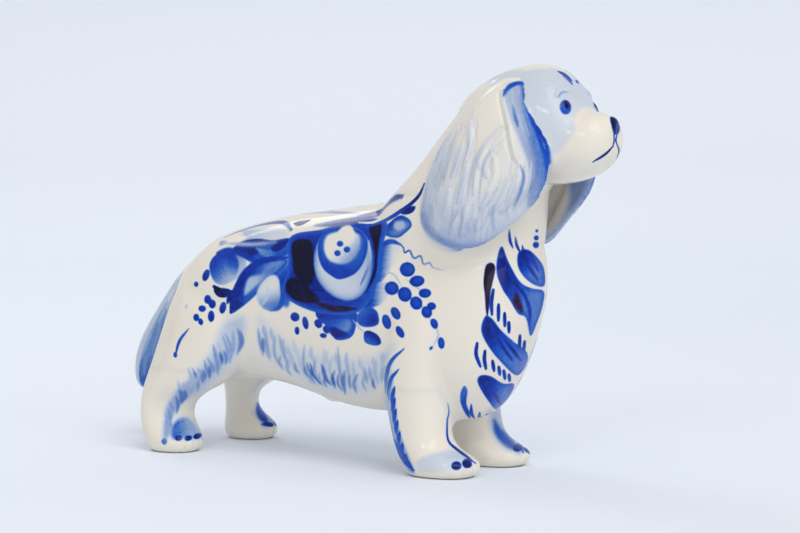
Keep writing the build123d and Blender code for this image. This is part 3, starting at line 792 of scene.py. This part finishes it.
def paint_feet(canvas):
    """Strokes down the backs of the forelegs, washes over the paws, and dabs on the toes."""
    canvas.seen_from("quarter", "torso", "foreleg")
    canvas.fill([(7.4, 24), (8.9, 24), (9.7, 17), (10.6, 11), (13, 4.4), (14.2, 1.6), (12.6, 1.2), (9.6, 6),
        (8, 12), (7, 18)], 0.2, 0.34, (8, 20), (12.5, 4), soft=0.9)
    canvas.stroke([(11.6, 29.6), (8.8, 26.7), (7.6, 23.2), (7.3, 18.6)], 0.9, COBALT, MID)
    canvas.stroke([(10.4, 24.8), (8.7, 22.5), (8, 19.4), (8.1, 17.4)], 0.9, COBALT, MID)
    for k in range(7):
        t = k / 6
        head = np.array([9.5 + 2.6 * t * t, 20.6 - 15.4 * t])
        canvas.stroke([head, head + [-0.5 + 0.3 * t, -1.8], head + [-0.8 + 1.1 * t, -4 + 1.4 * t]], 0.95,
            COBALT, BLUE)
    canvas.stroke([(9.4, 8), (11.2, 4.8), (13.6, 1.8)], 1.6, BLUE, COBALT)
    canvas.fill([(14.4, 3.3), (15.8, 5), (19, 6.1), (23, 6.4), (26.6, 4.6), (27, 3), (22, 2.4), (16.2, 1.6)],
        0.17, 0.11, (20, 5.5), (20, 2), soft=1.2)
    canvas.stroke([(21.7, 16.8), (22, 14.7), (21.6, 12.4), (21.8, 8.4), (23.8, 6.3), (26.3, 4.7), (28, 3.5)],
        0.5, BLUE, NAVY)
    canvas.dab((23.5, 3.4), 2.3, 1.8, NAVY)
    canvas.dab((26, 3.7), 2.3, 1.7, NAVY, -15)
    canvas.seen_from("quarter", "torso", "hindleg")
    canvas.fill([(-46.6, 6.6), (-45.2, 8.4), (-42.8, 8.4), (-40.2, 5.6), (-39, 3.4), (-42.9, 3.6),
        (-46.2, 3.8)], BLUE, 0.3, (-46.4, 5), (-41.4, 7), soft=1.6, lines=0.2)
    for centre in ((-44.7, 3.9), (-42.3, 3.8), (-40.3, 4)):
        canvas.dab(centre, 1.7, 1.2, NAVY)
    canvas.dab((-48.3, 3), 1.5, 1.6, BLUE)
    canvas.seen_from("right", "foreleg_left")
    canvas.stroke([(34.6, 16), (34, 12.6), (34.4, 9), (36, 6.6), (38.8, 4.6)], 4.0, 0.2, 0.34, soft=2.2,
        violet=0.4, round_ends=0.8)
    canvas.stroke([(33.4, 10.6), (34.2, 8.2), (36, 6.2), (38.4, 4.6)], 1.9, BLUE, COBALT, soft=1.3)
    canvas.dab((38.8, 4.5), 2.4, 1.2, NAVY)
    canvas.seen_from("right", "hindleg_left")
    canvas.stroke([(-27, 9.3), (-26.2, 6.8), (-24.5, 4.6)], 1.6, BLUE, DEEP, soft=1.2)


def paint_tail(canvas):
    """Grey-blue tail, deeper towards its tip."""
    canvas.seen_from("side", "tail")
    canvas.fill([(-44, 50), (-50, 48), (-60, 34), (-69, 22), (-69, 14), (-62, 14), (-56, 26), (-46, 44)],
        LIGHT, BLUE, (-54, 34), (-68, 15), soft=1.8, lines=0.08, violet=0.1)
    fan(canvas, [(-50, 45), (-56, 40), (-61, 35)], [(-60, 17), (-66, 15), (-70, 18)], 14, 0.9, 0.42, 0.03, 41,
        soft=0.8)
    canvas.stroke([(-45.5, 46.5), (-52, 38), (-57.5, 29), (-61, 22), (-63.5, 17)], 0.8, MID, COBALT, soft=0.5)
    canvas.seen_from("behind", "tail")
    canvas.fill([(-1, 10), (6, 10), (6, 40), (-1, 40)], 0.2, soft=3)


# ---------------------------------------------------------------- low relief, lengths in millimetres

def model_relief(canvas):
    """Locks of hair and a folded edge on the ears, eyes, mouth, toes and the feathering of the tail."""
    canvas.seen_from("quarter", "ear", fade=0.3)
    for line in EAR_HAIR:
        canvas.ridge(line, 2.6, 0.42)
        canvas.ridge([(u + 1.3, z + 0.2) for u, z in line], 1.1, -0.22)
    canvas.ridges([
        (EAR_FOLD, 2.0, 0.62, 0.8),
        ([(u - 1.1, z) for u, z in EAR_FOLD], 1.2, -0.3, 0.8),
        ([(37, 88.5), (38, 84), (39.4, 79.4), (40.8, 75), (41.6, 70), (40.6, 65.4)], 3.6, 0.45, 0.8),
        ([(36.6, 72.6), (37.4, 70), (37.4, 66.6), (36, 63)], 1.6, 0.4),
        ([(30.9, 74.6), (31.8, 71.4), (31.4, 68), (29.8, 65)], 2.0, 0.35),
        ([(16.9, 60), (19.6, 56), (25.3, 53.7), (32, 54.9), (37, 58.4), (41.4, 64.4)], 2.4, 0.3, 0.9),
    ])
    canvas.seen_from("quarter", "head", fade=0.3)
    canvas.ridges([
        ([(47.4, 84.9), (47.4, 83.7)], 3.2, 0.35, 0.9),
        ([(45.2, 86.6), (46.6, 88), (48.6, 88.2)], 2.4, 0.3),
        ([(58.1, 75.7), (56.7, 74.2), (55.2, 73.1), (53.4, 72.1)], 1.1, -0.3),
        ([(58.2, 78.6), (58.4, 76.9), (57.9, 75.5)], 0.9, -0.2),
    ])
    canvas.seen_from("front", "foreleg", "torso", fade=0.3)
    for y in (9.2, 11.6, 14):
        canvas.ridge([(y, 0.5), (y + 0.1, 2), (y + 0.1, 3.6)], 1.1, -0.25)
    canvas.seen_from("front", "hindleg", fade=0.3)
    for y in (13.6, 15.8, 18):
        canvas.ridge([(y, 0.5), (y + 0.1, 2), (y + 0.1, 3.4)], 1.1, -0.3)
    canvas.seen_from("side", "tail", fade=0.3)
    for k in range(5):
        canvas.ridge([(-49 - 2.4 * k, 42 - 3.5 * k), (-54 - 2.2 * k, 33 - 3.2 * k),
            (-58 - 2 * k, 25 - 2.2 * k)], 1.8, 0.3)
    canvas.lift *= smooth((canvas.place[:, 2] - 0.2) / 0.8)


def with_vent(place, normals):
    """The firing vent, a small hole in the middle of the belly."""
    away = np.hypot(place[:, 0] - VENT_X, place[:, 1])
    deep = VENT_DEPTH * smooth((VENT_RADIUS - away) / VENT_EDGE) * (normals[:, 2] < -0.3)
    return place + np.stack([np.zeros(len(place)), np.zeros(len(place)), deep], 1)


# ---------------------------------------------------------------- materials

def srgb(red, green, blue):
    """Linear colour, with alpha, of a screen colour given as 0 to 255."""
    levels = [v / 255 for v in (red, green, blue)]
    return (*(v / 12.92 if v <= 0.04045 else ((v + 0.055) / 1.055) ** 2.4 for v in levels), 1.0)


def colour_ramp(nodes, stops):
    """Ramp through screen colours at given positions."""
    ramp = nodes.new("ShaderNodeValToRGB")
    elements = ramp.color_ramp.elements
    while len(elements) < len(stops):
        elements.new(0.5)
    for element, (position, colour) in zip(elements, stops):
        element.position = position
        element.color = srgb(*colour)
    return ramp


def noise(nodes, links, scale, detail=2.0):
    texture = nodes.new("ShaderNodeTexNoise")
    texture.inputs["Scale"].default_value = scale
    texture.inputs["Detail"].default_value = detail
    coordinates = nodes.new("ShaderNodeTexCoord")
    links.new(coordinates.outputs["Object"], texture.inputs["Vector"])
    return texture


def attribute(nodes, name):
    node = nodes.new("ShaderNodeAttribute")
    node.attribute_name = name
    return node.outputs["Fac"]


def muladd(nodes, links, value, factor, added):
    """value * factor + added, where each may be a number or an output."""
    node = nodes.new("ShaderNodeMath")
    node.operation = "MULTIPLY_ADD"
    for socket, given in zip(node.inputs, (value, factor, added)):
        if isinstance(given, float):
            socket.default_value = given
        else:
            links.new(given, socket)
    return node.outputs[0]


def mixed(nodes, links, factor, first, second):
    node = nodes.new("ShaderNodeMix")
    node.data_type = "RGBA"
    links.new(factor, node.inputs["Factor"])
    for socket, given in ((node.inputs[6], first), (node.inputs[7], second)):
        if isinstance(given, tuple):
            socket.default_value = given
        else:
            links.new(given, socket)
    return node.outputs[2]


COBALT_RAMP = [
    (0.0, (234, 228, 217)), (0.14, (205, 214, 226)), (0.28, (158, 180, 214)), (0.42, (100, 138, 198)),
    (0.56, (28, 92, 192)), (0.72, (2, 56, 174)), (0.86, (3, 28, 122)), (1.0, (4, 5, 42)),
]
VIOLET_RAMP = [
    (0.0, (234, 228, 217)), (0.16, (206, 209, 216)), (0.4, (140, 138, 170)), (0.7, (70, 56, 104)),
    (1.0, (38, 12, 36)),
]


def glaze_material():
    """Clear glossy glaze over a warm white body, with cobalt under it where the brush has been."""
    material = bpy.data.materials.new("glazed_porcelain")
    material.use_nodes = True
    nodes, links = material.node_tree.nodes, material.node_tree.links
    shader = nodes["Principled BSDF"]
    shader.inputs["IOR"].default_value = 1.45
    shader.inputs["Specular IOR Level"].default_value = 0.25
    shader.inputs["Subsurface Weight"].default_value = 0.15
    shader.inputs["Subsurface Radius"].default_value = (0.0030, 0.0020, 0.0012)
    shader.inputs["Subsurface Scale"].default_value = 1.0
    grain = noise(nodes, links, 900.0, 3.0).outputs["Fac"]
    cloud = noise(nodes, links, 120.0).outputs["Fac"]
    uneven = muladd(nodes, links, grain, 0.22, 0.80)
    uneven = muladd(nodes, links, cloud, 0.18, uneven)
    tone = muladd(nodes, links, attribute(nodes, "pigment"), uneven, 0.0)
    blue = colour_ramp(nodes, COBALT_RAMP)
    violet = colour_ramp(nodes, VIOLET_RAMP)
    links.new(tone, blue.inputs["Fac"])
    links.new(tone, violet.inputs["Fac"])
    painted = mixed(nodes, links, attribute(nodes, "violet"), blue.outputs["Color"], violet.outputs["Color"])
    bare = attribute(nodes, "bare")
    colour = mixed(nodes, links, bare, painted, srgb(226, 216, 200))
    links.new(colour, shader.inputs["Base Color"])
    links.new(muladd(nodes, links, bare, 0.55, muladd(nodes, links, grain, 0.05, 0.07)),
        shader.inputs["Roughness"])
    waves = noise(nodes, links, 260.0).outputs["Fac"]
    bump = nodes.new("ShaderNodeBump")
    bump.inputs["Strength"].default_value = 0.12
    bump.inputs["Distance"].default_value = 0.0004
    links.new(waves, bump.inputs["Height"])
    links.new(bump.outputs["Normal"], shader.inputs["Normal"])
    return material


def plain_material(name, colour, roughness):
    material = bpy.data.materials.new(name)
    material.use_nodes = True
    shader = material.node_tree.nodes["Principled BSDF"]
    shader.inputs["Base Color"].default_value = colour
    shader.inputs["Roughness"].default_value = roughness
    return material


# ---------------------------------------------------------------- making the pieces

place, quads, cad = skin()
label = casting_of(place, quads, cad)
place, quads = subdivided(place, quads)
label = np.repeat(label, 4)
normals = normals_of(place, quads)
casting = np.zeros(len(place), int)
casting[quads.ravel()] = np.repeat(label, 4)

canvas = Canvas(place, normals, quads, casting)
model_relief(canvas)
for paint in (paint_fur, paint_petals, paint_rose, paint_berries, paint_back, paint_chest, paint_face,
        paint_ears, paint_feet, paint_tail):
    paint(canvas)
place = with_vent(place + normals * canvas.lift[:, None], normals)
place[:, 2] = np.maximum(place[:, 2], 0.0)
normals = normals_of(place, quads)
bare = smooth((BARE_TO - place[:, 2]) / BARE_FADE)
fields = {"pigment": canvas.pigment, "violet": canvas.violet, "bare": bare}

glaze = glaze_material()
for number, name in enumerate(NODES):
    piece = mesh_object("glazed_" + name, place, normals, quads[label == number], fields)
    piece.data.materials.append(glaze)
    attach(piece, "root")
    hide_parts(name)


# ---------------------------------------------------------------- stage, lights and camera

low, high = (np.array(corner) for corner in cad_box)
middle = (low + high) / 2


def stage_sheet():
    """Pale sweep: a level floor that curves up into a backdrop behind the figurine."""
    away = DRAWN_FROM
    across = np.array([math.cos(away), math.sin(away), 0.0])
    behind = np.array([-math.sin(away), math.cos(away), 0.0])
    profile = [(-1.2, 0.0), (0.5, 0.0), (0.7, 0.015), (0.9, 0.08), (1.05, 0.25), (1.1, 0.6), (1.1, 1.6)]
    points = [tuple(middle * [1, 1, 0] + across * side + behind * depth + [0, 0, rise]) for depth,
        rise in profile for side in (-2.0, 2.0)]
    faces = [(2 * k, 2 * k + 1, 2 * k + 3, 2 * k + 2) for k in range(len(profile) - 1)]
    mesh = bpy.data.meshes.new("sweep")
    mesh.from_pydata(points, [], faces)
    mesh.shade_smooth()
    sheet = bpy.data.objects.new("sweep", mesh)
    bpy.context.scene.collection.objects.link(sheet)
    mesh.materials.append(plain_material("pale_sweep", srgb(236, 244, 255), 0.9))


def direction(azimuth, elevation):
    """Unit vector towards the viewer who stands at that azimuth and elevation, in degrees."""
    turn, tilt = math.radians(azimuth), math.radians(elevation)
    return Vector((math.sin(turn) * math.cos(tilt), -math.cos(turn) * math.cos(tilt), math.sin(tilt)))


def aimed(name, data, back, distance=0.0, offset=(0.0, 0.0, 0.0)):
    """Object that looks at the figurine's middle, or at a point off it, from some distance back."""
    thing = bpy.data.objects.new(name, data)
    thing.location = Vector(middle) + Vector(offset) + back * distance
    thing.rotation_euler = back.to_track_quat("Z", "Y").to_euler()
    bpy.context.scene.collection.objects.link(thing)
    return thing


def light(name, kind, azimuth, elevation, power, colour):
    """Data of a light, and the direction that it shines from."""
    data = bpy.data.lights.new(name, kind)
    data.energy = power
    data.color = colour
    return data, direction(azimuth, elevation)


def area_light(name, azimuth, elevation, distance, size, power, colour=(1.0, 1.0, 1.0)):
    data, back = light(name, "AREA", azimuth, elevation, power, colour)
    data.shape = "RECTANGLE"
    data.size, data.size_y = size
    aimed(name, data, back, distance)


def sun_light(name, azimuth, elevation, strength, spread, colour):
    data, back = light(name, "SUN", azimuth, elevation, strength, colour)
    data.angle = math.radians(spread)
    aimed(name, data, back)


def camera(azimuth, elevation, distance, lens, ahead, above):
    """Camera that looks at a point ahead of the figurine's middle and above it."""
    data = bpy.data.cameras.new("camera")
    data.lens = lens
    data.sensor_width = 36.0
    data.clip_start = 0.01
    bpy.context.scene.camera = aimed("camera", data, direction(azimuth, elevation), distance,
        (ahead, 0.0, above))


stage_sheet()
sun_light("daylight", 62.0, 52.0, 0.86, 34.0, (1.0, 0.99, 0.98))
area_light("window", 20.0, 30.0, 0.8, (0.18, 0.14), 0.55)
area_light("low_window", 50.0, 4.0, 0.8, (0.3, 0.2), 0.3, (1.0, 0.97, 0.93))
area_light("side_window", 78.0, 28.0, 0.8, (0.16, 0.16), 0.35)
area_light("back_window", -110.0, 46.0, 0.8, (0.3, 0.2), 0.6)
camera(QUARTER, 2.4, distance=0.450, lens=84.04, ahead=0.01306, above=0.0002)

world = bpy.data.worlds.new("soft_daylight")
world.use_nodes = True
world.node_tree.nodes["Background"].inputs["Color"].default_value = (1.0, 0.965, 0.92, 1.0)
world.node_tree.nodes["Background"].inputs["Strength"].default_value = 0.57
bpy.context.scene.world = world
bpy.context.scene.view_settings.view_transform = "Standard"
